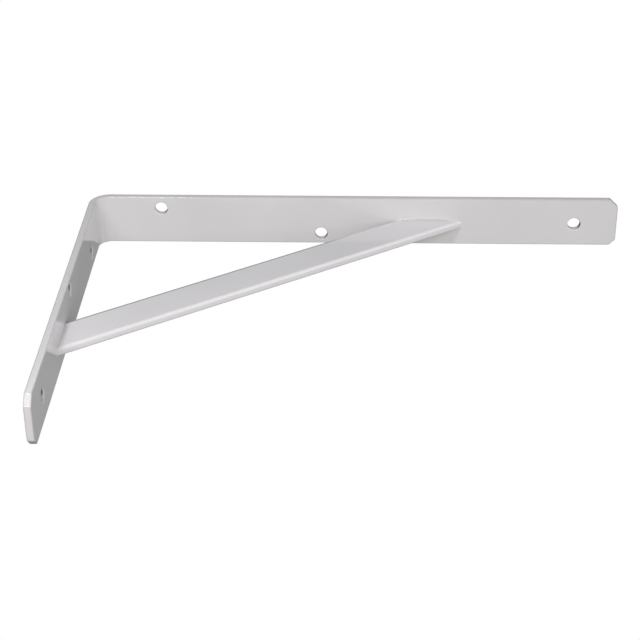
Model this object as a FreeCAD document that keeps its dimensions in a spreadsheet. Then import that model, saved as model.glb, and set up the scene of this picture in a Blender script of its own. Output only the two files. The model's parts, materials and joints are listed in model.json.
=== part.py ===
# Gallows shelf bracket: a flat bar bent to a right angle, with a brace on edge welded between its arms.
# X = 0 is the wall's face and +X runs out along the shelf arm.
# Z = 0 is the underside of the shelf and the wall arm hangs down to -Z.
# Y = 0 is the middle of the bent bar's width. Left, which is -Y, and right are as seen by someone who
# faces the wall. All lengths are in millimetres.
import FreeCAD, Part
import math
import os
import Sketcher

SHEET = "Sizes"

SIZES = [
    # the bent bar
    ("shelf_reach", 315.0),
    ("wall_drop", 225.0),
    ("bar_width", 30.0),
    ("bar_thickness", 4.0),
    ("bend_inner_radius", 8.0),
    ("corner_clip", 5.0),
    ("shelf_right_corner_clip", 3.5),
    ("bar_edge_round", 0.7),
    # screw holes in the shelf arm: along X from the wall or from the arm's end, and across in Y,
    # where a margin is the distance from the hole's centre to the bar's nearer long edge
    ("shelf_hole_diameter", 7.5),
    ("shelf_inner_hole_x", 42.0),
    ("shelf_inner_hole_margin", 7.5),
    ("shelf_middle_hole_x", 138.0),
    ("shelf_middle_hole_margin", 6.5),
    ("shelf_outer_hole_setback", 25.5),
    ("shelf_outer_hole_y", 1.0),
    # screw holes in the wall arm: down from the shelf or up from the arm's end, and across as above
    ("wall_hole_diameter", 7.5),
    ("wall_upper_hole_drop", 36.5),
    ("wall_upper_hole_margin", 9.5),
    ("wall_middle_hole_drop", 108.0),
    ("wall_middle_hole_margin", 5.5),
    ("wall_lower_hole_setback", 27.0),
    ("wall_lower_hole_y", 0.5),
    # the broken edge of each punched hole
    ("hole_rim_bevel", 0.3),
    # the brace, a flat bar on edge
    ("brace_depth", 23.3),
    ("brace_thickness", 5.0),
    ("brace_side_offset", 2.0),
    ("brace_shelf_setback", 92.5),
    ("brace_wall_setback", 69.5),
    ("brace_edge_round", 1.6),
    # the fillet welds on both sides of the brace
    ("weld_leg", 2.5),
]

# Points of a sketch line or arc, as a sketch counts them
START, END, CENTRE = range(1, 4)
# A sketch's own horizontal axis, whose start point is the origin, and its vertical axis
H_AXIS, V_AXIS = range(-1, -3, -1)

# A pocket's own number for a cut that runs right through
THROUGH_ALL = 1
# Lengths and directions closer than this are the same
NEAR = 1e-4
# Faces that meet at less than this angle, in radians, run into each other without a corner
SMOOTH_ANGLE = 0.01


def fill_sheet(doc):
    """Writes every driving size to the sheet, with its name beside it."""
    sheet = doc.addObject("Spreadsheet::Sheet", SHEET)
    for row, (name, value) in enumerate(SIZES, start=1):
        sheet.set("A%d" % row, name)
        sheet.set("B%d" % row, str(value))
        sheet.setAlias("B%d" % row, name)
    doc.recompute()
    return sheet


def from_sheet(formula):
    """Turns a formula of plain size names into one that reads the sheet."""
    words = formula.split(" ")
    names = [name for name, value in SIZES]
    return " ".join(SHEET + "." + word if word in names else word for word in words)


def point(across, up):
    """Makes a point of a sketch, which lies flat in its own plane."""
    return FreeCAD.Vector(across, up, 0)


def add_body(doc, label):
    body = doc.addObject("PartDesign::Body", label)
    body.Label = label
    return body


def add_sketch(body, name, plane_role):
    """Adds a sketch on one of the body's own origin planes."""
    plane = [item for item in body.Origin.OriginFeatures if item.Role == plane_role][0]
    sketch = body.newObject("Sketcher::SketchObject", name)
    sketch.AttachmentSupport = [(plane, "")]
    sketch.MapMode = "FlatFace"
    return sketch


def relate(sketch, kind, *places):
    sketch.addConstraint(Sketcher.Constraint(kind, *places))


def measure(sketch, kind, places, value, name, formula):
    """Adds a dimension, names it and ties it to the sheet."""
    number = sketch.addConstraint(Sketcher.Constraint(kind, *places, value))
    sketch.renameConstraint(number, name)
    sketch.setExpression("Constraints." + name, from_sheet(formula))


def add_line(sketch, start, end):
    return sketch.addGeometry(Part.LineSegment(point(*start), point(*end)), False)


def add_quarter_arc(sketch, centre, radius):
    """Adds the upper left quarter of a circle, from its top round to its left side."""
    circle = Part.Circle(point(*centre), FreeCAD.Vector(0, 0, 1), radius)
    return sketch.addGeometry(Part.ArcOfCircle(circle, math.pi / 2, math.pi), False)


def draw_bent_profile(sketch, size):
    """Draws the bar's side view: two straight arms joined by one bend of constant thickness."""
    reach, drop, thick = size["shelf_reach"], size["wall_drop"], size["bar_thickness"]
    inner = size["bend_inner_radius"]
    outer = inner + thick
    wall_back = add_line(sketch, (0, -drop), (0, -outer))
    outer_bend = add_quarter_arc(sketch, (outer, -outer), outer)
    shelf_top = add_line(sketch, (outer, 0), (reach, 0))
    shelf_end = add_line(sketch, (reach, 0), (reach, -thick))
    underside = add_line(sketch, (reach, -thick), (outer, -thick))
    inner_bend = add_quarter_arc(sketch, (outer, -outer), inner)
    wall_front = add_line(sketch, (thick, -outer), (thick, -drop))
    wall_end = add_line(sketch, (thick, -drop), (0, -drop))
    for upright in (wall_back, wall_front, shelf_end):
        relate(sketch, "Vertical", upright)
    for level in (shelf_top, underside, wall_end):
        relate(sketch, "Horizontal", level)
    relate(sketch, "Tangent", wall_back, END, outer_bend, END)
    relate(sketch, "Tangent", outer_bend, START, shelf_top, START)
    relate(sketch, "Coincident", shelf_top, END, shelf_end, START)
    relate(sketch, "Coincident", shelf_end, END, underside, START)
    relate(sketch, "Tangent", underside, END, inner_bend, START)
    relate(sketch, "Tangent", inner_bend, END, wall_front, START)
    relate(sketch, "Coincident", wall_front, END, wall_end, START)
    relate(sketch, "Coincident", wall_end, END, wall_back, START)
    relate(sketch, "Coincident", inner_bend, CENTRE, outer_bend, CENTRE)
    relate(sketch, "PointOnObject", wall_back, START, V_AXIS)
    relate(sketch, "PointOnObject", shelf_top, START, H_AXIS)
    measure(sketch, "DistanceX", (H_AXIS, START, shelf_top, END), reach, "reach", "shelf_reach")
    measure(sketch, "DistanceY", (wall_back, START, H_AXIS, START), drop, "drop", "wall_drop")
    measure(sketch, "Distance", (wall_end,), thick, "thickness", "bar_thickness")
    measure(sketch, "Radius", (inner_bend,), inner, "inner_radius", "bend_inner_radius")


def signed_distance(sketch, kind, centre, value, name, formula):
    """Ties a circle's centre to the origin along one axis, on whichever side the value lies."""
    if value < 0:
        measure(sketch, kind, (centre, CENTRE, H_AXIS, START), -value, name, "-1 * ( " + formula + " )")
    else:
        measure(sketch, kind, (H_AXIS, START, centre, CENTRE), value, name, formula)


def draw_holes(sketch, places, diameter, diameter_name):
    """Draws equal circles. Each place gives the circle's two coordinates and their formulas."""
    first = None
    for number, (across, across_formula, along, along_formula) in enumerate(places, start=1):
        circle = Part.Circle(point(across, along), FreeCAD.Vector(0, 0, 1), diameter / 2)
        ring = sketch.addGeometry(circle, False)
        signed_distance(sketch, "DistanceX", ring, across, "across_%d" % number, across_formula)
        signed_distance(sketch, "DistanceY", ring, along, "along_%d" % number, along_formula)
        if first is None:
            first = ring
            measure(sketch, "Diameter", (ring,), diameter, "diameter", diameter_name)
        else:
            relate(sketch, "Equal", first, ring)


def draw_shelf_holes(sketch, size):
    """Places the three staggered screw holes of the shelf arm, seen from above."""
    half_width = size["bar_width"] / 2
    outer_x = size["shelf_reach"] - size["shelf_outer_hole_setback"]
    places = [
        (size["shelf_inner_hole_x"], "shelf_inner_hole_x",
         size["shelf_inner_hole_margin"] - half_width, "shelf_inner_hole_margin - bar_width / 2"),
        (size["shelf_middle_hole_x"], "shelf_middle_hole_x",
         half_width - size["shelf_middle_hole_margin"], "bar_width / 2 - shelf_middle_hole_margin"),
        (outer_x, "shelf_reach - shelf_outer_hole_setback",
         size["shelf_outer_hole_y"], "shelf_outer_hole_y"),
    ]
    draw_holes(sketch, places, size["shelf_hole_diameter"], "shelf_hole_diameter")


def draw_wall_holes(sketch, size):
    """Places the three staggered screw holes of the wall arm, seen along X."""
    half_width = size["bar_width"] / 2
    lower_z = size["wall_lower_hole_setback"] - size["wall_drop"]
    places = [
        (half_width - size["wall_upper_hole_margin"], "bar_width / 2 - wall_upper_hole_margin",
         -size["wall_upper_hole_drop"], "-1 * wall_upper_hole_drop"),
        (size["wall_middle_hole_margin"] - half_width, "wall_middle_hole_margin - bar_width / 2",
         -size["wall_middle_hole_drop"], "-1 * wall_middle_hole_drop"),
        (size["wall_lower_hole_y"], "wall_lower_hole_y",
         lower_z, "wall_lower_hole_setback - wall_drop"),
    ]
    draw_holes(sketch, places, size["wall_hole_diameter"], "wall_hole_diameter")


def cut_through(doc, body, sketch, name, reversed_side):
    """Cuts the sketch right through the body, and makes sure that the cut took metal away."""
    uncut = body.Shape.Volume
    pocket = body.newObject("PartDesign::Pocket", name)
    pocket.Profile = sketch
    pocket.Type = THROUGH_ALL
    pocket.Reversed = reversed_side
    doc.recompute()
    if pocket.Shape.Volume >= uncut:
        raise RuntimeError(name + " cut nothing")
    return pocket


def edges_where(shape, test):
    """Names the edges of a shape that pass a test."""
    return ["Edge%d" % number for number, edge in enumerate(shape.Edges, start=1) if test(edge)]


def lies_along(edge, direction):
    if not isinstance(edge.Curve, Part.Line):
        return False
    return abs(abs(edge.Curve.Direction.dot(direction)) - 1) < NEAR


def is_smooth(edge, shape):
    """Tells whether the two faces at an edge run into each other without a corner."""
    faces = [face for face in shape.Faces if any(edge.isSame(other) for other in face.Edges)]
    if len(faces) != 2:
        return True
    middle = edge.valueAt((edge.FirstParameter + edge.LastParameter) / 2)
    normals = []
    for face in faces:
        u, v = face.Surface.parameter(middle)
        normals.append(face.normalAt(u, v))
    return normals[0].getAngle(normals[1]) < SMOOTH_ANGLE


def bevel_edges(doc, body, base, name, width_name, test):
    """Cuts a 45 degree bevel along the chosen edges of the base feature."""
    bevel = body.newObject("PartDesign::Chamfer", name)
    bevel.Base = (base, edges_where(base.Shape, test))
    bevel.setExpression("Size", from_sheet(width_name))
    doc.recompute()
    return bevel


def clip_corners(doc, body, base, size):
    """Crops the bar's four free corners at 45 degrees, the shelf arm's right one less than the others."""
    upright, outward = FreeCAD.Vector(0, 0, 1), FreeCAD.Vector(1, 0, 0)
    shelf_end, wall_end = size["shelf_reach"], -size["wall_drop"]

    def on_shelf_end(edge):
        return lies_along(edge, upright) and abs(edge.CenterOfMass.x - shelf_end) < NEAR

    def on_wall_end(edge):
        return lies_along(edge, outward) and abs(edge.CenterOfMass.z - wall_end) < NEAR

    def is_right_shelf_corner(edge):
        return on_shelf_end(edge) and edge.CenterOfMass.y > 0

    def is_other_corner(edge):
        return on_wall_end(edge) or on_shelf_end(edge) and edge.CenterOfMass.y < 0

    clipped = bevel_edges(doc, body, base, "CornerClips", "corner_clip", is_other_corner)
    return bevel_edges(doc, body, clipped, "ShelfRightCornerClip", "shelf_right_corner_clip",
                       is_right_shelf_corner)


def round_edges(doc, body, base, name, radius_name, test):
    """Rounds the chosen edges of the base feature."""
    rounding = body.newObject("PartDesign::Fillet", name)
    rounding.Base = (base, edges_where(base.Shape, test))
    rounding.setExpression("Radius", from_sheet(radius_name))
    doc.recompute()
    return rounding


def is_hole_rim(edge):
    return edge.isClosed() and not edge.Degenerated and isinstance(edge.Curve, Part.Circle)


def make_bent_bar(doc, size):
    """The bent flat bar: profile padded to its width, punched, cropped and smoothed."""
    body = add_body(doc, "bent_bar")
    profile = add_sketch(body, "BentProfile", "XZ_Plane")
    draw_bent_profile(profile, size)
    bar = body.newObject("PartDesign::Pad", "BarWidth")
    bar.Profile = profile
    bar.Midplane = True
    bar.Length = size["bar_width"]
    bar.setExpression("Length", from_sheet("bar_width"))
    doc.recompute()
    clipped = clip_corners(doc, body, bar, size)
    round_edges(doc, body, clipped, "OutlineRound", "bar_edge_round",
                lambda edge: not is_smooth(edge, clipped.Shape))
    shelf_sketch = add_sketch(body, "ShelfHoles", "XY_Plane")
    draw_shelf_holes(shelf_sketch, size)
    cut_through(doc, body, shelf_sketch, "ShelfScrewHoles", False)
    wall_sketch = add_sketch(body, "WallHoles", "YZ_Plane")
    draw_wall_holes(wall_sketch, size)
    punched = cut_through(doc, body, wall_sketch, "WallScrewHoles", True)
    bevel_edges(doc, body, punched, "HoleRims", "hole_rim_bevel", is_hole_rim)
    return body


def draw_brace_profile(sketch, size):
    """Draws the brace's side view: parallel long edges, its ends lying on the two arms."""
    reach, drop, thick = size["shelf_reach"], size["wall_drop"], size["bar_thickness"]
    toe_x = reach - size["brace_shelf_setback"]
    heel_z = size["brace_wall_setback"] - drop
    run, rise = toe_x - thick, -thick - heel_z
    length = (run ** 2 + rise ** 2) ** 0.5
    depth = size["brace_depth"]
    heel, toe = (thick, heel_z), (toe_x, -thick)
    upper_toe = (toe_x - depth * length / rise, -thick)
    upper_heel = (thick, heel_z + depth * length / run)
    lower_edge = add_line(sketch, heel, toe)
    shelf_cut = add_line(sketch, toe, upper_toe)
    upper_edge = add_line(sketch, upper_toe, upper_heel)
    wall_cut = add_line(sketch, upper_heel, heel)
    ring = (lower_edge, shelf_cut, upper_edge, wall_cut)
    for line, following in zip(ring, ring[1:] + ring[:1]):
        relate(sketch, "Coincident", line, END, following, START)
    relate(sketch, "Horizontal", shelf_cut)
    relate(sketch, "Vertical", wall_cut)
    relate(sketch, "Parallel", lower_edge, upper_edge)
    measure(sketch, "DistanceX", (H_AXIS, START, lower_edge, START), thick, "wall_seat", "bar_thickness")
    measure(sketch, "DistanceY", (lower_edge, END, H_AXIS, START), thick, "shelf_seat", "bar_thickness")
    measure(sketch, "DistanceX", (H_AXIS, START, lower_edge, END), toe_x, "toe",
            "shelf_reach - brace_shelf_setback")
    measure(sketch, "DistanceY", (lower_edge, START, H_AXIS, START), -heel_z, "heel",
            "wall_drop - brace_wall_setback")
    measure(sketch, "Distance", (upper_edge, START, lower_edge), depth, "depth", "brace_depth")


def make_brace(doc, size):
    """The brace: a flat bar on edge, cut flush to both arms and a little to one side of the middle."""
    body = add_body(doc, "brace")
    profile = add_sketch(body, "BraceProfile", "XZ_Plane")
    draw_brace_profile(profile, size)
    bar = body.newObject("PartDesign::Pad", "BraceThickness")
    bar.Profile = profile
    bar.Midplane = True
    bar.Length = size["brace_thickness"]
    bar.setExpression("Length", from_sheet("brace_thickness"))
    doc.recompute()
    reach, drop, thick = size["shelf_reach"], size["wall_drop"], size["bar_thickness"]
    slope = FreeCAD.Vector(reach - size["brace_shelf_setback"] - thick, 0,
                           drop - size["brace_wall_setback"] - thick)
    slope.normalize()
    round_edges(doc, body, bar, "BraceRound", "brace_edge_round", lambda edge: lies_along(edge, slope))
    body.setExpression("Placement.Base.y", from_sheet("brace_side_offset"))
    doc.recompute()
    return body


def draw_weld_section(sketch, size):
    """Draws a fillet weld's section: two equal legs on the metal and a flat face between their tips."""
    leg = size["weld_leg"]
    first_leg = add_line(sketch, (0, 0), (leg, 0))
    face = add_line(sketch, (leg, 0), (0, leg))
    second_leg = add_line(sketch, (0, leg), (0, 0))
    relate(sketch, "Coincident", first_leg, START, H_AXIS, START)
    relate(sketch, "Coincident", first_leg, END, face, START)
    relate(sketch, "Coincident", face, END, second_leg, START)
    relate(sketch, "Coincident", second_leg, END, first_leg, START)
    relate(sketch, "Horizontal", first_leg)
    relate(sketch, "Vertical", second_leg)
    relate(sketch, "Equal", first_leg, second_leg)
    measure(sketch, "Distance", (first_leg,), leg, "leg", "weld_leg")


def make_weld(doc, size, label, length, corner, turn):
    """One fillet weld. It runs up from its own origin, and is then turned and moved into its corner."""
    body = add_body(doc, label)
    section = add_sketch(body, "WeldSection", "XY_Plane")
    draw_weld_section(section, size)
    bead = body.newObject("PartDesign::Pad", "WeldLength")
    bead.Profile = section
    bead.setExpression("Length", from_sheet(length))
    body.Placement = FreeCAD.Placement(FreeCAD.Vector(0, 0, 0), turn)
    for axis, formula in zip("xyz", corner):
        body.setExpression("Placement.Base." + axis, from_sheet(formula))
    doc.recompute()
    return body


def make_welds(doc, size):
    """A fillet weld on each side of the brace, at its heel on the wall arm and its toe on the shelf arm.
    Each runs as far as both its legs lie on flat metal, clear of the brace's rounded edges."""
    run = "( shelf_reach - brace_shelf_setback - bar_thickness )"
    rise = "( wall_drop - brace_wall_setback - bar_thickness )"
    slant = "sqrt( " + run + " ^ 2 + " + rise + " ^ 2 )"
    flat_depth = "( brace_depth - 2 * brace_edge_round )"
    heel_length = flat_depth + " * " + slant + " / " + run + " - weld_leg * " + rise + " / " + run
    toe_length = flat_depth + " * " + slant + " / " + rise + " - weld_leg * " + run + " / " + rise
    heel_start = ("brace_wall_setback - wall_drop + weld_leg * " + rise + " / " + run
                  + " + brace_edge_round * " + slant + " / " + run)
    toe_start = ("shelf_reach - brace_shelf_setback - ( brace_depth - brace_edge_round ) * "
                 + slant + " / " + rise)
    along_shelf = FreeCAD.Rotation(FreeCAD.Vector(0, 1, 0), 90)
    sides = [
        ("left", "brace_side_offset - brace_thickness / 2", FreeCAD.Rotation(FreeCAD.Vector(0, 0, 1), -90)),
        ("right", "brace_side_offset + brace_thickness / 2", FreeCAD.Rotation()),
    ]
    welds = []
    for side, brace_face, turn in sides:
        heel_corner = ("bar_thickness", brace_face, heel_start)
        toe_corner = (toe_start, brace_face, "-1 * bar_thickness")
        welds.append(make_weld(doc, size, "heel_weld_" + side, heel_length, heel_corner, turn))
        welds.append(make_weld(doc, size, "toe_weld_" + side, toe_length, toe_corner, along_shelf * turn))
    return welds


def check_document(doc, bodies):
    """Stops if any feature failed or any sub-part is not one sound solid."""
    for item in doc.Objects:
        if "Invalid" in item.State or "Error" in item.State:
            raise RuntimeError(item.Name + " failed: " + ", ".join(item.State))
    for body in bodies:
        shape = body.Shape
        if shape.isNull() or not shape.isValid() or len(shape.Solids) != 1:
            raise RuntimeError(body.Label + " is not one sound solid")


def main():
    doc = FreeCAD.newDocument("gallows_bracket")
    sheet = fill_sheet(doc)
    size = {name: float(sheet.get(name)) for name, value in SIZES}
    bodies = [make_bent_bar(doc, size), make_brace(doc, size)] + make_welds(doc, size)
    doc.recompute()
    check_document(doc, bodies)
    os.makedirs("parts", exist_ok=True)
    for body in bodies:
        body.Shape.exportStep(os.path.join("parts", body.Label + ".step"))
        box = body.Shape.optimalBoundingBox(False)
        print("%s: %.0f mm3, %.1f x %.1f x %.1f mm" % (body.Label, body.Shape.Volume,
                                                       box.XLength, box.YLength, box.ZLength))


main()
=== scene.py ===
# %% [markdown]
# # A gallows shelf bracket in gloss white paint
#
# The real bracket is one flat steel bar bent to a right angle, and a second flat bar welded on edge
# between its two arms, with a bead of weld along each side of its two ends. The whole thing is stoved in
# white gloss paint.
# Its sizes are fixed before Blender opens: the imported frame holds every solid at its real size, in metres.
# One way is to dress those solids where they are. Another is to make each piece again, with smoother bends
# and softer edges on exactly the same form. This lesson does that, because gloss paint shows every facet.

import json
import math

import bmesh
import bpy
from mathutils import Matrix, Vector


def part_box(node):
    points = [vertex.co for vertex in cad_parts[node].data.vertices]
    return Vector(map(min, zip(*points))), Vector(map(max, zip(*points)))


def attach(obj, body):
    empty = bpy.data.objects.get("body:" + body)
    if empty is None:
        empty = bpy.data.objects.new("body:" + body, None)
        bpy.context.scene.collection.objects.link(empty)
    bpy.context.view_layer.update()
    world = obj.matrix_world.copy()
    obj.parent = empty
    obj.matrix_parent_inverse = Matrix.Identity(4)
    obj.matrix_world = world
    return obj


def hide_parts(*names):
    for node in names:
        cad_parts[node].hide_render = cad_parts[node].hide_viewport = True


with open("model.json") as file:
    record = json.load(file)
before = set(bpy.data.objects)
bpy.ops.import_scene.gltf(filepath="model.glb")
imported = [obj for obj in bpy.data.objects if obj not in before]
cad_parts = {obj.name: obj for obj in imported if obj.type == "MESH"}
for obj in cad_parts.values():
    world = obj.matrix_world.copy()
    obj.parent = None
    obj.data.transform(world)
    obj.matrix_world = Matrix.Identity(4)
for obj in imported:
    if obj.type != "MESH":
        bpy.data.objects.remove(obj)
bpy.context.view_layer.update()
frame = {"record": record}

# %% [markdown]
# ## Sizes
#
# A fabricator would read the sizes off the drawing. Here the frame is the drawing: the box of each solid
# gives the lengths, and the record's mounts give the place and radius of each screw hole.
# Only what a box can't tell is written here: the bend, the corner crops, the depth of the slanted
# brace and the broken edges.

# %% Read the sizes off the frame
MM = 0.001
TINY = 0.001 * MM

bar_low, bar_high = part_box("bent_bar")
brace_low, brace_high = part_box("brace")
REACH = bar_high.x
DROP = -bar_low.z
WIDTH = bar_high.y - bar_low.y
THICK = brace_low.x
BEND_INNER = 8 * MM
BEND_OUTER = BEND_INNER + THICK
CORNER_CROP = 5 * MM
SHELF_RIGHT_CROP = 3.5 * MM
EDGE_ROUND = 0.7 * MM
RIM_ROUND = 0.8 * MM
BRACE_DEPTH = 23.3 * MM
BRACE_ROUND = 1.6 * MM

bores = [mount for mount in frame["record"]["mounts"] if mount["kind"] == "bore"]
print("reach %.0f mm, drop %.0f mm, bar %.0f x %.0f mm, %d holes"
      % (REACH / MM, DROP / MM, WIDTH / MM, THICK / MM, len(bores)))

# %% [markdown]
# ## A blank for one arm
#
# A real arm is a length of flat bar with its corners cropped and its screw holes punched.
# It could be a box with holes cut by booleans. Here it is made as the punch would see it: a flat outline
# with a circle for each hole, filled between them, and then given its thickness by one extrusion.
# That way the holes are clean rings from the start, and their rims are easy to find and soften.
# A layer called edge goes with each mesh, and tells the paint later where it runs thin and where shade is
# painted into it.

# %% Make a flat arm with its holes
RIM_STEPS = 64
BEVEL_STEPS = 4
SHARP = math.radians(30)
UPRIGHT = 0.5


def new_mesh():
    """An empty mesh with the layer that tells the paint where it is thin and where shade is painted."""
    mesh = bmesh.new()
    mesh.verts.layers.float.new("edge")
    return mesh


def is_sharp(edge):
    return edge.calc_face_angle(0) > SHARP


def only_verts(items):
    return [item for item in items if isinstance(item, bmesh.types.BMVert)]


def soften(mesh, edges, radius, thin_paint_and_shade=0):
    """Rounds edges, and marks in the edge layer how much the middle of each rounding is darkened: thin paint
    and painted shade.
    """
    made = bmesh.ops.bevel(mesh, geom=edges, offset=radius, offset_type="OFFSET", affect="EDGES",
                           segments=BEVEL_STEPS, profile=0.5, material=-1, clamp_overlap=True)
    faces = set(made["faces"])
    layer = mesh.verts.layers.float["edge"]
    for vert in made["verts"]:
        if all(face in faces for face in vert.link_faces):
            vert[layer] = thin_paint_and_shade


def flat_arm(length, holes, radius, right_crop):
    """An arm from its bend outward: X along it, Y across it, Z from its inner face to its outer face."""
    mesh = new_mesh()
    ring = mesh.verts.layers.int.new("ring")
    bmesh.ops.create_grid(mesh, x_segments=1, y_segments=1, size=0.5)
    bmesh.ops.scale(mesh, vec=(length, WIDTH, 1), verts=mesh.verts)
    bmesh.ops.translate(mesh, vec=(length / 2, 0, 0), verts=mesh.verts)
    free_corners = [vert for vert in mesh.verts if vert.co.x > length / 2]
    left, right = sorted(free_corners, key=lambda vert: vert.co.y)
    for corner, crop in ((left, CORNER_CROP), (right, right_crop)):
        bmesh.ops.bevel(mesh, geom=[corner], offset=crop, offset_type="OFFSET", affect="VERTICES",
                        segments=1, profile=0.5, material=-1)
    bmesh.ops.delete(mesh, geom=mesh.faces[:], context="FACES_ONLY")
    for along, across in holes:
        circle = bmesh.ops.create_circle(mesh, cap_ends=False, segments=RIM_STEPS, radius=radius,
                                         matrix=Matrix.Translation((along, across, 0)))
        for vert in circle["verts"]:
            vert[ring] = 1
    bmesh.ops.triangle_fill(mesh, edges=mesh.edges[:], use_beauty=True, use_dissolve=False)
    lifted = bmesh.ops.extrude_face_region(mesh, geom=mesh.faces[:])["geom"]
    bmesh.ops.translate(mesh, vec=(0, 0, THICK), verts=only_verts(lifted))
    open_end = [face for face in mesh.faces if all(abs(vert.co.x) < TINY for vert in face.verts)]
    bmesh.ops.delete(mesh, geom=open_end, context="FACES_ONLY")
    bmesh.ops.recalc_face_normals(mesh, faces=mesh.faces[:])
    for face in mesh.faces:
        in_hole = all(vert[ring] for vert in face.verts) and abs(face.normal.z) < UPRIGHT
        face.material_index = 1 if in_hole else 0
    rims = [edge for edge in mesh.edges if is_sharp(edge) and all(vert[ring] for vert in edge.verts)]
    soften(mesh, rims, RIM_ROUND)
    print("a flat arm of %.0f mm with %d holes" % (length / MM, len(holes)))
    return mesh


# %% [markdown]
# ## The bent bar
#
# The press brake folds the bar round a small radius, so its thickness runs unbroken through the bend.
# A curve with a bevel could draw that, but it would have no holes. Here the two blanks are set in place,
# with the wall's one turned to run down. The open end of the shelf's one is then spun a quarter turn, until
# it meets the other, which is just what the bend is.
# Every sharp edge that is left is rounded by the same small amount, as the mill and the paint leave it.

# %% Join the two arms by their bend
BEND_STEPS = 32
# The bar's roundings are darkened a little: thin paint, and painted shade for the dark line that a rounded
# edge shows.
EDGE_THIN_PAINT_AND_SHADE = 0.25
FACE_WEIGHT = 100


def pour(source, target, place):
    """Sets one mesh in place inside another, and frees it."""
    bmesh.ops.transform(source, matrix=place, verts=source.verts)
    carrier = bpy.data.meshes.new("carrier")
    source.to_mesh(carrier)
    source.free()
    target.from_mesh(carrier)
    bpy.data.meshes.remove(carrier)


def make_object(mesh, name, materials):
    """Makes an object of the mesh, puts it in the scene and frees the mesh."""
    data = bpy.data.meshes.new(name)
    mesh.to_mesh(data)
    mesh.free()
    for material in materials:
        data.materials.append(material)
    made = bpy.data.objects.new(name, data)
    bpy.context.scene.collection.objects.link(made)
    return made


def finish_piece(mesh, name, materials):
    """Makes a piece that is smooth where it is round and flat where it is flat."""
    mesh.normal_update()
    for edge in mesh.edges:
        edge.smooth = not is_sharp(edge)
    piece = make_object(mesh, name, materials)
    piece.data.shade_smooth()
    weigh = piece.modifiers.new("flat_faces_stay_flat", "WEIGHTED_NORMAL")
    weigh.weight = FACE_WEIGHT
    weigh.keep_sharp = True
    print(name, "has", len(piece.data.polygons), "faces")
    return piece


def bore_radius(start):
    return next(bore["dims"]["r_mm"] * MM for bore in bores if bore["name"].startswith(start))


def holes_in(start, axis, sign):
    """The holes of one arm: how far each lies from the bend, and how far off the middle."""
    return [(sign * bore["pos_m"][axis] - BEND_OUTER, bore["pos_m"][1]) for bore in bores
            if bore["name"].startswith(start)]


def make_bent_bar(materials):
    shelf_holes = holes_in("shelf", 0, 1)
    wall_holes = holes_in("wall", 2, -1)
    mesh = new_mesh()
    shelf_place = Matrix.Translation((BEND_OUTER, 0, -THICK))
    wall_place = Matrix(((0, 0, -1, THICK), (0, 1, 0, 0), (-1, 0, 0, -BEND_OUTER), (0, 0, 0, 1)))
    shelf_arm = flat_arm(REACH - BEND_OUTER, shelf_holes, bore_radius("shelf"), SHELF_RIGHT_CROP)
    pour(shelf_arm, mesh, shelf_place)
    wall_arm = flat_arm(DROP - BEND_OUTER, wall_holes, bore_radius("wall"), CORNER_CROP)
    pour(wall_arm, mesh, wall_place)
    seam = [edge for edge in mesh.edges if all(abs(vert.co.x - BEND_OUTER) < TINY for vert in edge.verts)]
    bmesh.ops.spin(mesh, geom=seam, cent=(BEND_OUTER, 0, -BEND_OUTER), axis=(0, 1, 0),
                   angle=-math.pi / 2, steps=BEND_STEPS, use_merge=False)
    bmesh.ops.remove_doubles(mesh, verts=mesh.verts[:], dist=TINY)
    bmesh.ops.recalc_face_normals(mesh, faces=mesh.faces[:])
    ring = mesh.verts.layers.int["ring"]
    outline = [edge for edge in mesh.edges if is_sharp(edge) and not any(vert[ring] for vert in edge.verts)]
    # The outline's roundings get thin paint and painted shade in the edge layer.
    soften(mesh, outline, EDGE_ROUND, EDGE_THIN_PAINT_AND_SHADE)
    return finish_piece(mesh, "bent_flat_bar", materials)


# %% [markdown]
# ## The brace
#
# The brace is flat bar on edge, sawn at two angles so that each end lies flush on its arm.
# It could be drawn as a slanted outline and extruded. Here it is cut as the saw would: an over-long bar is
# rounded along its edges, laid on the line from heel to toe, and sliced by the planes of the two arms.
# Before it is turned, its upper edges are marked with painted shade, which shows as a fine dark line there.

# %% Saw the brace to fit the arms
OVERHANG = 40 * MM
# Painted shade: how dark the brace's upper edges are painted, and how far the dark strip reaches down its
# sides.
BRACE_EDGE_SHADE = 0.9
SHADE_STRIP = 0.9 * MM
FADE_FROM = 85 * MM
FADE_TO = 65 * MM


def slice_off(mesh, point, outward):
    """Saws the mesh on a plane, takes away what lies outward and closes the cut."""
    cut = bmesh.ops.bisect_plane(mesh, geom=mesh.verts[:] + mesh.edges[:] + mesh.faces[:], dist=TINY,
                                 plane_co=point, plane_no=outward, clear_outer=True)["geom_cut"]
    rim = [item for item in cut if isinstance(item, bmesh.types.BMEdge)]
    bmesh.ops.edgeloop_fill(mesh, edges=rim)


def paint_shade_on_upper_edges(mesh, toe_x):
    """Marks painted shade on the upper roundings and on a strip of each side below. It fades before the toe.
    """
    round_start = BRACE_DEPTH / 2 - BRACE_ROUND
    planes = [
        ((0, 0, round_start - SHADE_STRIP), (0, 0, 1)),
        ((toe_x - FADE_FROM, 0, 0), (1, 0, 0)),
        ((toe_x - FADE_TO, 0, 0), (1, 0, 0)),
    ]
    for point, normal in planes:
        bmesh.ops.bisect_plane(mesh, geom=mesh.verts[:] + mesh.edges[:] + mesh.faces[:], dist=TINY,
                               plane_co=point, plane_no=normal)
    layer = mesh.verts.layers.float["edge"]
    for vert in mesh.verts:
        if vert.co.z > round_start - TINY and vert.co.x < toe_x - FADE_FROM + TINY:
            vert[layer] = BRACE_EDGE_SHADE


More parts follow.
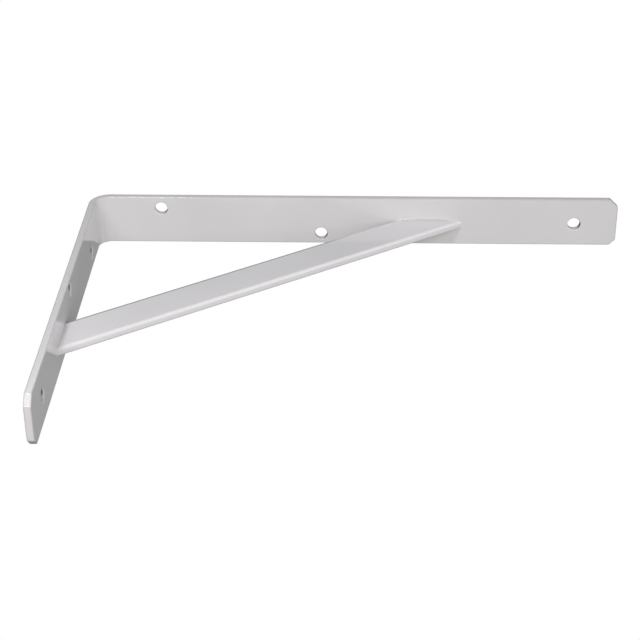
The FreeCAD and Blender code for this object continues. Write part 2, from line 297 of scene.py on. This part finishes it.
def make_brace(materials):
    heel = Vector((brace_low.x, 0, brace_low.z))
    toe = Vector((brace_high.x, 0, brace_high.z))
    along = (toe - heel).normalized()
    across = Vector((0, 1, 0))
    up = along.cross(across)
    middle = (heel + toe) / 2 + up * BRACE_DEPTH / 2
    middle.y = (brace_low.y + brace_high.y) / 2
    length = (toe - heel).length + 2 * OVERHANG
    mesh = new_mesh()
    bmesh.ops.create_cube(mesh, size=1)
    bmesh.ops.scale(mesh, vec=(length, brace_high.y - brace_low.y, BRACE_DEPTH), verts=mesh.verts)
    long_edges = [edge for edge in mesh.edges if edge.calc_length() > length - TINY]
    soften(mesh, long_edges, BRACE_ROUND)
    # Paint a fine dark line of shade along the upper edges.
    paint_shade_on_upper_edges(mesh, (toe - heel).length / 2)
    turn = Matrix((along, across, up)).transposed().to_4x4()
    bmesh.ops.transform(mesh, matrix=Matrix.Translation(middle) @ turn, verts=mesh.verts)
    slice_off(mesh, (THICK, 0, 0), (-1, 0, 0))
    slice_off(mesh, (0, 0, -THICK), (0, 0, 1))
    bmesh.ops.recalc_face_normals(mesh, faces=mesh.faces[:])
    print("the brace is %.0f mm from heel to toe" % ((toe - heel).length / MM))
    return finish_piece(mesh, "brace_on_edge", materials)


# %% [markdown]
# ## The weld beads
#
# The welder runs a bead down each side of the brace at both ends. It fills the corner with a hollow fillet,
# it is rippled where the pool froze step by step, and it thins out at its ends.
# It could be a sculpted lump. Here its hollow face is spun from one point, the section is drawn out along
# the corner and divided into rings, and each ring is then drawn in or let out, as the pool was.
# The hollow is darkened with painted shade too, which keeps it from outshining the bars beside it.

# %% Run a bead along a corner
HOLLOW = math.radians(38)
BEAD_STEPS = 10
RING_LENGTH = 0.25 * MM
RIPPLE_LENGTH = 1.6 * MM
RIPPLE_DEPTH = 0.05
RIPPLE_BOW = 0.9 * MM
BEAD_SWELL = 0.05
SWELL_LENGTH = 9 * MM
TAPER = 8 * MM
THIN_END = 0.05
# Painted shade: how far the bead's hollow is darkened.
HOLLOW_SHADE = 0.3
BOW_RISE = 3
RIPPLE_RISE = 4


def hollow_section(mesh, leg):
    """A fillet's section: its corner at the origin, a leg along X, a leg along Y and a hollow face."""
    first = bmesh.ops.create_vert(mesh, co=(leg, 0, 0))["vert"]
    reach = leg / 2 * (1 + 1 / math.tan(HOLLOW))
    spun = bmesh.ops.spin(mesh, geom=first, cent=(reach, reach, 0), axis=(0, 0, 1),
                          angle=-2 * HOLLOW, steps=BEAD_STEPS, use_merge=False)["geom_last"]
    last = only_verts(spun)[0]
    corner = bmesh.ops.create_vert(mesh, co=(0, 0, 0))["vert"][0]
    mesh.edges.new((first[0], corner))
    mesh.edges.new((last, corner))
    bmesh.ops.edgeloop_fill(mesh, edges=mesh.edges[:])


def run_bead(vert, leg, length):
    """Draws one point in or out by how far along the bead it lies. The ripples rise from the two legs."""
    hollow = min(vert.co.x, vert.co.y) / leg
    along = vert.co.z + RIPPLE_BOW * min(1, BOW_RISE * hollow)
    ripple = RIPPLE_DEPTH * math.sin(math.tau * along / RIPPLE_LENGTH) * min(1, RIPPLE_RISE * hollow)
    swell = BEAD_SWELL * math.sin(math.tau * vert.co.z / SWELL_LENGTH)
    from_end = min(vert.co.z, length - vert.co.z)
    end = THIN_END + (1 - THIN_END) * math.sin(min(1, from_end / TAPER) * math.pi / 2)
    size = end * (1 - BEAD_SWELL + swell + ripple)
    vert.co.x *= size
    vert.co.y *= size


def make_bead(node, materials):
    """A bead that fills the box of its solid, in the corner between the brace and the arm."""
    low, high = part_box(node)
    at_toe = node.startswith("toe")
    on_left = node.endswith("left")
    run = Vector((1, 0, 0)) if at_toe else Vector((0, 0, 1))
    off_arm = Vector((0, 0, -1)) if at_toe else Vector((1, 0, 0))
    off_brace = Vector((0, -1 if on_left else 1, 0))
    start = Vector((low.x, high.y if on_left else low.y, high.z if at_toe else low.z))
    leg = high.y - low.y
    length = (high - low).dot(run)
    mesh = new_mesh()
    hollow_section(mesh, leg)
    drawn = bmesh.ops.extrude_face_region(mesh, geom=mesh.faces[:])["geom"]
    bmesh.ops.translate(mesh, vec=(0, 0, length), verts=only_verts(drawn))
    lines = [edge for edge in mesh.edges if abs(edge.verts[0].co.z - edge.verts[1].co.z) > TINY]
    bmesh.ops.subdivide_edges(mesh, edges=lines, cuts=round(length / RING_LENGTH), use_grid_fill=True)
    layer = mesh.verts.layers.float["edge"]
    for vert in mesh.verts:
        # Painted shade darkens the hollow, fading out toward the two legs.
        vert[layer] = HOLLOW_SHADE * min(1, RIPPLE_RISE * min(vert.co.x, vert.co.y) / leg)
        run_bead(vert, leg, length)
    turn = Matrix((off_arm, off_brace, run)).transposed().to_4x4()
    bmesh.ops.transform(mesh, matrix=Matrix.Translation(start) @ turn, verts=mesh.verts)
    bmesh.ops.recalc_face_normals(mesh, faces=mesh.faces[:])
    return finish_piece(mesh, node.replace("weld", "bead"), materials)


# %% [markdown]
# ## The paint
#
# Stoved gloss enamel is nearly smooth, but not quite: it has a faint orange peel, it thins on sharp edges
# and it hardly reaches inside the punched holes. Painted shade is added to its colour as well: along the
# roundings, in the weld hollows and on one side of each hole.
# A picture could carry all that. Noise read in the object's own coordinates does it without one, stays put
# in every view, and has the right scale because the object is at its real size.

# %% Shared finish: the surface of stoved enamel
PEEL_SIZE = 1.6 * MM
PEEL_DETAIL = 1
MOTTLE_SIZE = 45 * MM
MOTTLE_DETAIL = 4
MOTTLE_FROM = 0.35
MOTTLE_TO = 0.75
MOTTLE_MOST = 0.08
GLOSS_SPREAD = 0.06
# A Mix node has sockets for every kind of value. These are the places of the two colors and their mix.
MIX_FIRST = 6
MIX_SECOND = 7
MIX_RESULT = 2


def add_node(tree, kind, **values):
    node = tree.nodes.new(kind)
    for name, value in values.items():
        setattr(node, name, value)
    return node


def stoved_surface():
    """Node group: the tint, gloss and orange peel of sprayed enamel, from object coordinates. The tint
    darkens by the given amount of thin paint and painted shade.
    """
    group = bpy.data.node_groups.new("stoved_surface", "ShaderNodeTree")
    sockets = group.interface
    sockets.new_socket("Thick", in_out="INPUT", socket_type="NodeSocketColor")
    sockets.new_socket("Thin Paint And Shade Color", in_out="INPUT", socket_type="NodeSocketColor")
    sockets.new_socket("Edge", in_out="INPUT", socket_type="NodeSocketFloat")
    sockets.new_socket("Gloss Roughness", in_out="INPUT", socket_type="NodeSocketFloat")
    sockets.new_socket("Color", in_out="OUTPUT", socket_type="NodeSocketColor")
    sockets.new_socket("Roughness", in_out="OUTPUT", socket_type="NodeSocketFloat")
    sockets.new_socket("Height", in_out="OUTPUT", socket_type="NodeSocketFloat")
    given = add_node(group, "NodeGroupInput")
    result = add_node(group, "NodeGroupOutput")
    place = add_node(group, "ShaderNodeTexCoord")
    link = group.links.new

    peel = add_node(group, "ShaderNodeTexNoise")
    peel.inputs["Scale"].default_value = 1 / PEEL_SIZE
    peel.inputs["Detail"].default_value = PEEL_DETAIL
    link(place.outputs["Object"], peel.inputs["Vector"])
    link(peel.outputs["Fac"], result.inputs["Height"])

    mottle = add_node(group, "ShaderNodeTexNoise")
    mottle.inputs["Scale"].default_value = 1 / MOTTLE_SIZE
    mottle.inputs["Detail"].default_value = MOTTLE_DETAIL
    link(place.outputs["Object"], mottle.inputs["Vector"])
    patches = add_node(group, "ShaderNodeMapRange")
    patches.inputs["From Min"].default_value = MOTTLE_FROM
    patches.inputs["From Max"].default_value = MOTTLE_TO
    patches.inputs["To Max"].default_value = MOTTLE_MOST
    link(mottle.outputs["Fac"], patches.inputs["Value"])

    amount = add_node(group, "ShaderNodeMath", operation="ADD", use_clamp=True)
    link(patches.outputs["Result"], amount.inputs[0])
    link(given.outputs["Edge"], amount.inputs[1])
    tint = add_node(group, "ShaderNodeMix", data_type="RGBA")
    link(amount.outputs["Value"], tint.inputs["Factor"])
    link(given.outputs["Thick"], tint.inputs[MIX_FIRST])
    link(given.outputs["Thin Paint And Shade Color"], tint.inputs[MIX_SECOND])
    link(tint.outputs[MIX_RESULT], result.inputs["Color"])

    gloss = add_node(group, "ShaderNodeMath", operation="MULTIPLY_ADD")
    link(mottle.outputs["Fac"], gloss.inputs[0])
    gloss.inputs[1].default_value = GLOSS_SPREAD
    link(given.outputs["Gloss Roughness"], gloss.inputs[2])
    link(gloss.outputs["Value"], result.inputs["Roughness"])
    return group


STOVED = stoved_surface()
print("the shared finish has", len(STOVED.nodes), "nodes")

# %% [markdown]
# ### White gloss
#
# The same enamel is used three times. It is glossy on the bar and the beads. It is painted a little lighter
# on the brace, as painted light on its faces. It is rougher and a little darker on the walls of the holes,
# with painted shade on the walls that face one way.
# One material with masks could do it all. Each is its own material around the shared group instead, so the
# shader's plain values stay on the shader itself.

# %% Mix the paints
WHITE = (0.72, 0.715, 0.72, 1)
# Painted light: the brace's white is a lighter copy of the same enamel, standing in for more light on its
# faces.
BRACE_WHITE_PAINTED_LIGHTER = (0.75, 0.745, 0.755, 1)
# The grey that thin paint and painted shade darken the white toward. The random mottle mixes a little of it
# in too.
THIN_PAINT_AND_SHADE_GREY = (0.25, 0.25, 0.26, 1)
DULL_WHITE = (0.66, 0.66, 0.66, 1)
# Painted shade: the grey that one side of each hole's wall is darkened to.
HOLE_SHADE_GREY = (0.10, 0.10, 0.10, 1)
PEEL_DEPTH = 0.004 * MM
ENAMEL_IOR = 1.5
GLOSSY = 0.1
DULL = 0.35
# Painted shade falls on the hole walls that face this way; the two bounds soften its edge.
SHADED_FACING = Vector((-1, 0, -0.9))
SHADED_FROM = 0.6
SHADED_TO = 0.95


def enamel(name, thick, thin_paint_and_shade, roughness):
    """A painted-metal material around the stoved surface."""
    material = bpy.data.materials.new(name)
    material.use_nodes = True
    tree = material.node_tree
    shader = tree.nodes["Principled BSDF"]
    shader.inputs["IOR"].default_value = ENAMEL_IOR
    surface = add_node(tree, "ShaderNodeGroup", node_tree=STOVED)
    surface.inputs["Thick"].default_value = thick
    surface.inputs["Thin Paint And Shade Color"].default_value = thin_paint_and_shade
    surface.inputs["Gloss Roughness"].default_value = roughness
    edge = add_node(tree, "ShaderNodeAttribute", attribute_name="edge")
    bump = add_node(tree, "ShaderNodeBump")
    bump.inputs["Strength"].default_value = 1
    bump.inputs["Distance"].default_value = PEEL_DEPTH
    link = tree.links.new
    link(edge.outputs["Fac"], surface.inputs["Edge"])
    link(surface.outputs["Color"], shader.inputs["Base Color"])
    link(surface.outputs["Roughness"], shader.inputs["Roughness"])
    link(surface.outputs["Height"], bump.inputs["Height"])
    link(bump.outputs["Normal"], shader.inputs["Normal"])
    return material


def paint_hole_shade(material):
    """Paints shade on the hole walls that face one way, by darkening them toward the shade grey."""
    tree = material.node_tree
    link = tree.links.new
    surface = next(node for node in tree.nodes if node.type == "GROUP")
    place = add_node(tree, "ShaderNodeTexCoord")
    facing = add_node(tree, "ShaderNodeVectorMath", operation="DOT_PRODUCT")
    facing.inputs[1].default_value = SHADED_FACING
    link(place.outputs["Normal"], facing.inputs[0])
    thin_paint_and_shade = add_node(tree, "ShaderNodeMapRange", interpolation_type="SMOOTHSTEP")
    thin_paint_and_shade.inputs["From Min"].default_value = SHADED_FROM
    thin_paint_and_shade.inputs["From Max"].default_value = SHADED_TO
    link(facing.outputs["Value"], thin_paint_and_shade.inputs["Value"])
    link(thin_paint_and_shade.outputs["Result"], surface.inputs["Edge"])


white_gloss = enamel("white_gloss_enamel", WHITE, THIN_PAINT_AND_SHADE_GREY, GLOSSY)
brace_gloss_painted_lighter = enamel("gloss_enamel_painted_lighter_on_brace", BRACE_WHITE_PAINTED_LIGHTER, THIN_PAINT_AND_SHADE_GREY, GLOSSY)
hole_enamel_and_shade = enamel("hole_enamel_with_painted_shade", DULL_WHITE, HOLE_SHADE_GREY, DULL)
# The holes' walls get painted shade on one side.
paint_hole_shade(hole_enamel_and_shade)
print("the paints:", [material.name for material in (white_gloss, brace_gloss_painted_lighter, hole_enamel_and_shade)])

# %% [markdown]
# ## Fit the pieces to the frame
#
# On the real bracket the two bars and the four beads are one welded whole, and nothing on it moves.
# The pieces could be joined into one mesh. They stay apart here, because each stands for the solid that it
# was made from, and all of them ride on the one root body.

# %% Make, ride and replace
WELDS = ["heel_weld_left", "heel_weld_right", "toe_weld_left", "toe_weld_right"]
# The brace wears the lighter copy of the white, as painted light.
stands_for = {"bent_bar": make_bent_bar([white_gloss, hole_enamel_and_shade]), "brace": make_brace([brace_gloss_painted_lighter])}
for weld in WELDS:
    stands_for[weld] = make_bead(weld, [white_gloss])
for node, piece in stands_for.items():
    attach(piece, "root")
    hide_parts(node)
print("pieces made:", len(stands_for))

# %% [markdown]
# ## The floor
#
# The bracket hangs on a wall at shelf height, so a studio floor lies well below it.
# A floor right under the part would hide its underside, which is the side that the photograph shows. This
# one is a pale disc 1.4 m down: it keeps the soft shadow and sends some light back up.

# %% Lay the floor
FLOOR_DROP = 1.4
FLOOR_RADIUS = 9.0
FLOOR_STEPS = 96
FLOOR_COLOR = (0.85, 0.85, 0.85, 1)
FLOOR_ROUGHNESS = 0.8


def make_floor():
    mesh = bmesh.new()
    bmesh.ops.create_circle(mesh, cap_ends=True, segments=FLOOR_STEPS, radius=FLOOR_RADIUS,
                            matrix=Matrix.Translation((0, 0, -FLOOR_DROP)))
    pale = bpy.data.materials.new("pale_floor")
    pale.use_nodes = True
    shader = pale.node_tree.nodes["Principled BSDF"]
    shader.inputs["Base Color"].default_value = FLOOR_COLOR
    shader.inputs["Roughness"].default_value = FLOOR_ROUGHNESS
    make_object(mesh, "floor", [pale])


make_floor()
print("the floor lies %.1f m below the shelf" % FLOOR_DROP)

# %% [markdown]
# ## The white background
#
# In a studio the background is a white sheet, lit so that it goes clear white.
# A sheet that bright would flood the paint with light. Here the world is full white only to the camera, in
# reflections and through anything clear, and it lights the paint with a faint even glow from all round.

# %% Set the world: even light, white behind
AMBIENT = 0.34


def make_world():
    world = bpy.data.worlds.new("studio")
    world.use_nodes = True
    bpy.context.scene.world = world
    tree = world.node_tree
    tree.nodes.clear()
    link = tree.links.new
    path = add_node(tree, "ShaderNodeLightPath")
    seen = add_node(tree, "ShaderNodeMath", operation="ADD", use_clamp=True)
    link(path.outputs["Is Camera Ray"], seen.inputs[0])
    link(path.outputs["Is Glossy Ray"], seen.inputs[1])
    seen_all = add_node(tree, "ShaderNodeMath", operation="ADD", use_clamp=True)
    link(seen.outputs["Value"], seen_all.inputs[0])
    link(path.outputs["Is Transmission Ray"], seen_all.inputs[1])
    even = add_node(tree, "ShaderNodeBackground")
    even.inputs["Strength"].default_value = AMBIENT
    white = add_node(tree, "ShaderNodeBackground")
    for background in (even, white):
        background.inputs["Color"].default_value = (1, 1, 1, 1)
    mix = add_node(tree, "ShaderNodeMixShader")
    link(seen_all.outputs["Value"], mix.inputs["Fac"])
    link(even.outputs["Background"], mix.inputs[1])
    link(white.outputs["Background"], mix.inputs[2])
    output = add_node(tree, "ShaderNodeOutputWorld")
    link(mix.outputs["Shader"], output.inputs["Surface"])


make_world()
print("even light at strength", AMBIENT)

# %% [markdown]
# ## The camera
#
# The photograph was taken from below and from the bracket's left side, close enough that the near end
# looks larger.
# Its place could be guessed by eye. These numbers come from fitting a camera to the outline's corners and
# to the rims of the six holes, so each edge falls within about a pixel of the photograph's.

# %% Set the camera where the photograph was taken from
CAMERA_PLACE = Vector((0.16473, -0.44004, -0.87265))
CAMERA_FORWARD = Vector((-0.02758, 0.50554, 0.86236))
CAMERA_RIGHT = Vector((0.99958, 0.00621, 0.02833))
LENS = 90.93
SENSOR = 36
NEAREST = 0.01
FARTHEST = 100


def make_camera():
    data = bpy.data.cameras.new("camera")
    data.lens = LENS
    data.sensor_width = SENSOR
    data.clip_start = NEAREST
    data.clip_end = FARTHEST
    camera = bpy.data.objects.new("camera", data)
    bpy.context.scene.collection.objects.link(camera)
    back = -CAMERA_FORWARD.normalized()
    right = (CAMERA_RIGHT - CAMERA_RIGHT.project(back)).normalized()
    turn = Matrix((right, back.cross(right), back)).transposed().to_4x4()
    camera.matrix_world = Matrix.Translation(CAMERA_PLACE) @ turn
    bpy.context.scene.camera = camera


make_camera()
bpy.context.scene.view_settings.view_transform = "Standard"
print("the camera stands %.2f m from the shelf's corner" % CAMERA_PLACE.length)

# %% [markdown]
# ## The lamps
#
# The photograph shows where its lamps hung: the wall arm's inner face is darker than the shelf arm, and the
# arm's soft shadow runs across the bend. So the key light comes from the left, past the wall arm's edge.
# One large lamp would wash that shadow out. Here two small keys hang to the left, soft fills hang below and
# to the right, each with a slight tint, and a large lamp lights the upper faces and the floor.

# %% Hang the lamps
AIM = Vector((0.14, 0, -0.07))
LAMPS = [
    ("left_key", (-0.06, -0.55, -0.35), 0.12, 1.38, (0.955, 0.955, 1)),
    ("left_low_key", (-0.10, -0.28, -0.60), 0.12, 0.60, (1, 0.98, 0.93)),
    ("low_fill", (0.10, -0.25, -0.65), 0.40, 0.72, (1, 0.90, 0.92)),
    ("right_fill", (1.20, -0.30, -0.40), 0.80, 3.8, (0.98, 0.97, 0.98)),
    ("low_right_fill", (0.90, -0.10, -0.80), 0.80, 0.95, (1, 0.93, 0.87)),
    ("top_fill", (0.20, 0.50, 1.30), 1.00, 10.0, (1, 1, 1)),
]


def hang_lamp(name, place, size, power, color):
    """A square soft lamp that looks at the bracket."""
    data = bpy.data.lights.new(name, "AREA")
    data.size = size
    data.energy = power
    data.color = color
    lamp = bpy.data.objects.new(name, data)
    lamp.location = place
    lamp.rotation_euler = (Vector(place) - AIM).to_track_quat("Z", "Y").to_euler()
    bpy.context.scene.collection.objects.link(lamp)


for lamp in LAMPS:
    hang_lamp(*lamp)
print("lamps hung:", len(LAMPS))

# %% [markdown]
# ## A dark card
#
# Gloss paint shows its surroundings. In front of pure white its side faces turn pale and flat.
# Less white would grey the background. A photographer stands a dark card just out of the picture instead,
# and this one is seen in reflections alone.

# %% Stand a dark card behind the bracket
CARD_LEVEL = 0.01
CARD_SIZE = 3.4
CARD_AWAY = 0.8


def make_card(place, away):
    """A card that only reflections see, so that gloss has something darker than the background to show."""
    mesh = bmesh.new()
    bmesh.ops.create_grid(mesh, x_segments=1, y_segments=1, size=CARD_SIZE / 2)
    turn = Vector(away).to_track_quat("Z", "Y").to_matrix().to_4x4()
    bmesh.ops.transform(mesh, matrix=Matrix.Translation(place) @ turn, verts=mesh.verts)
    material = bpy.data.materials.new("dark_card")
    material.use_nodes = True
    tree = material.node_tree
    tree.nodes.clear()
    glow = add_node(tree, "ShaderNodeEmission")
    glow.inputs["Strength"].default_value = CARD_LEVEL
    output = add_node(tree, "ShaderNodeOutputMaterial")
    tree.links.new(glow.outputs["Emission"], output.inputs["Surface"])
    card = make_object(mesh, "dark_card", [material])
    card.visible_camera = False
    card.visible_diffuse = False
    card.visible_shadow = False
    card.visible_transmission = False
    card.visible_volume_scatter = False


make_card(AIM + CAMERA_FORWARD * CARD_AWAY, CAMERA_FORWARD)
print("a dark card of %.1f m stands %.1f m behind the bracket" % (CARD_SIZE, CARD_AWAY))
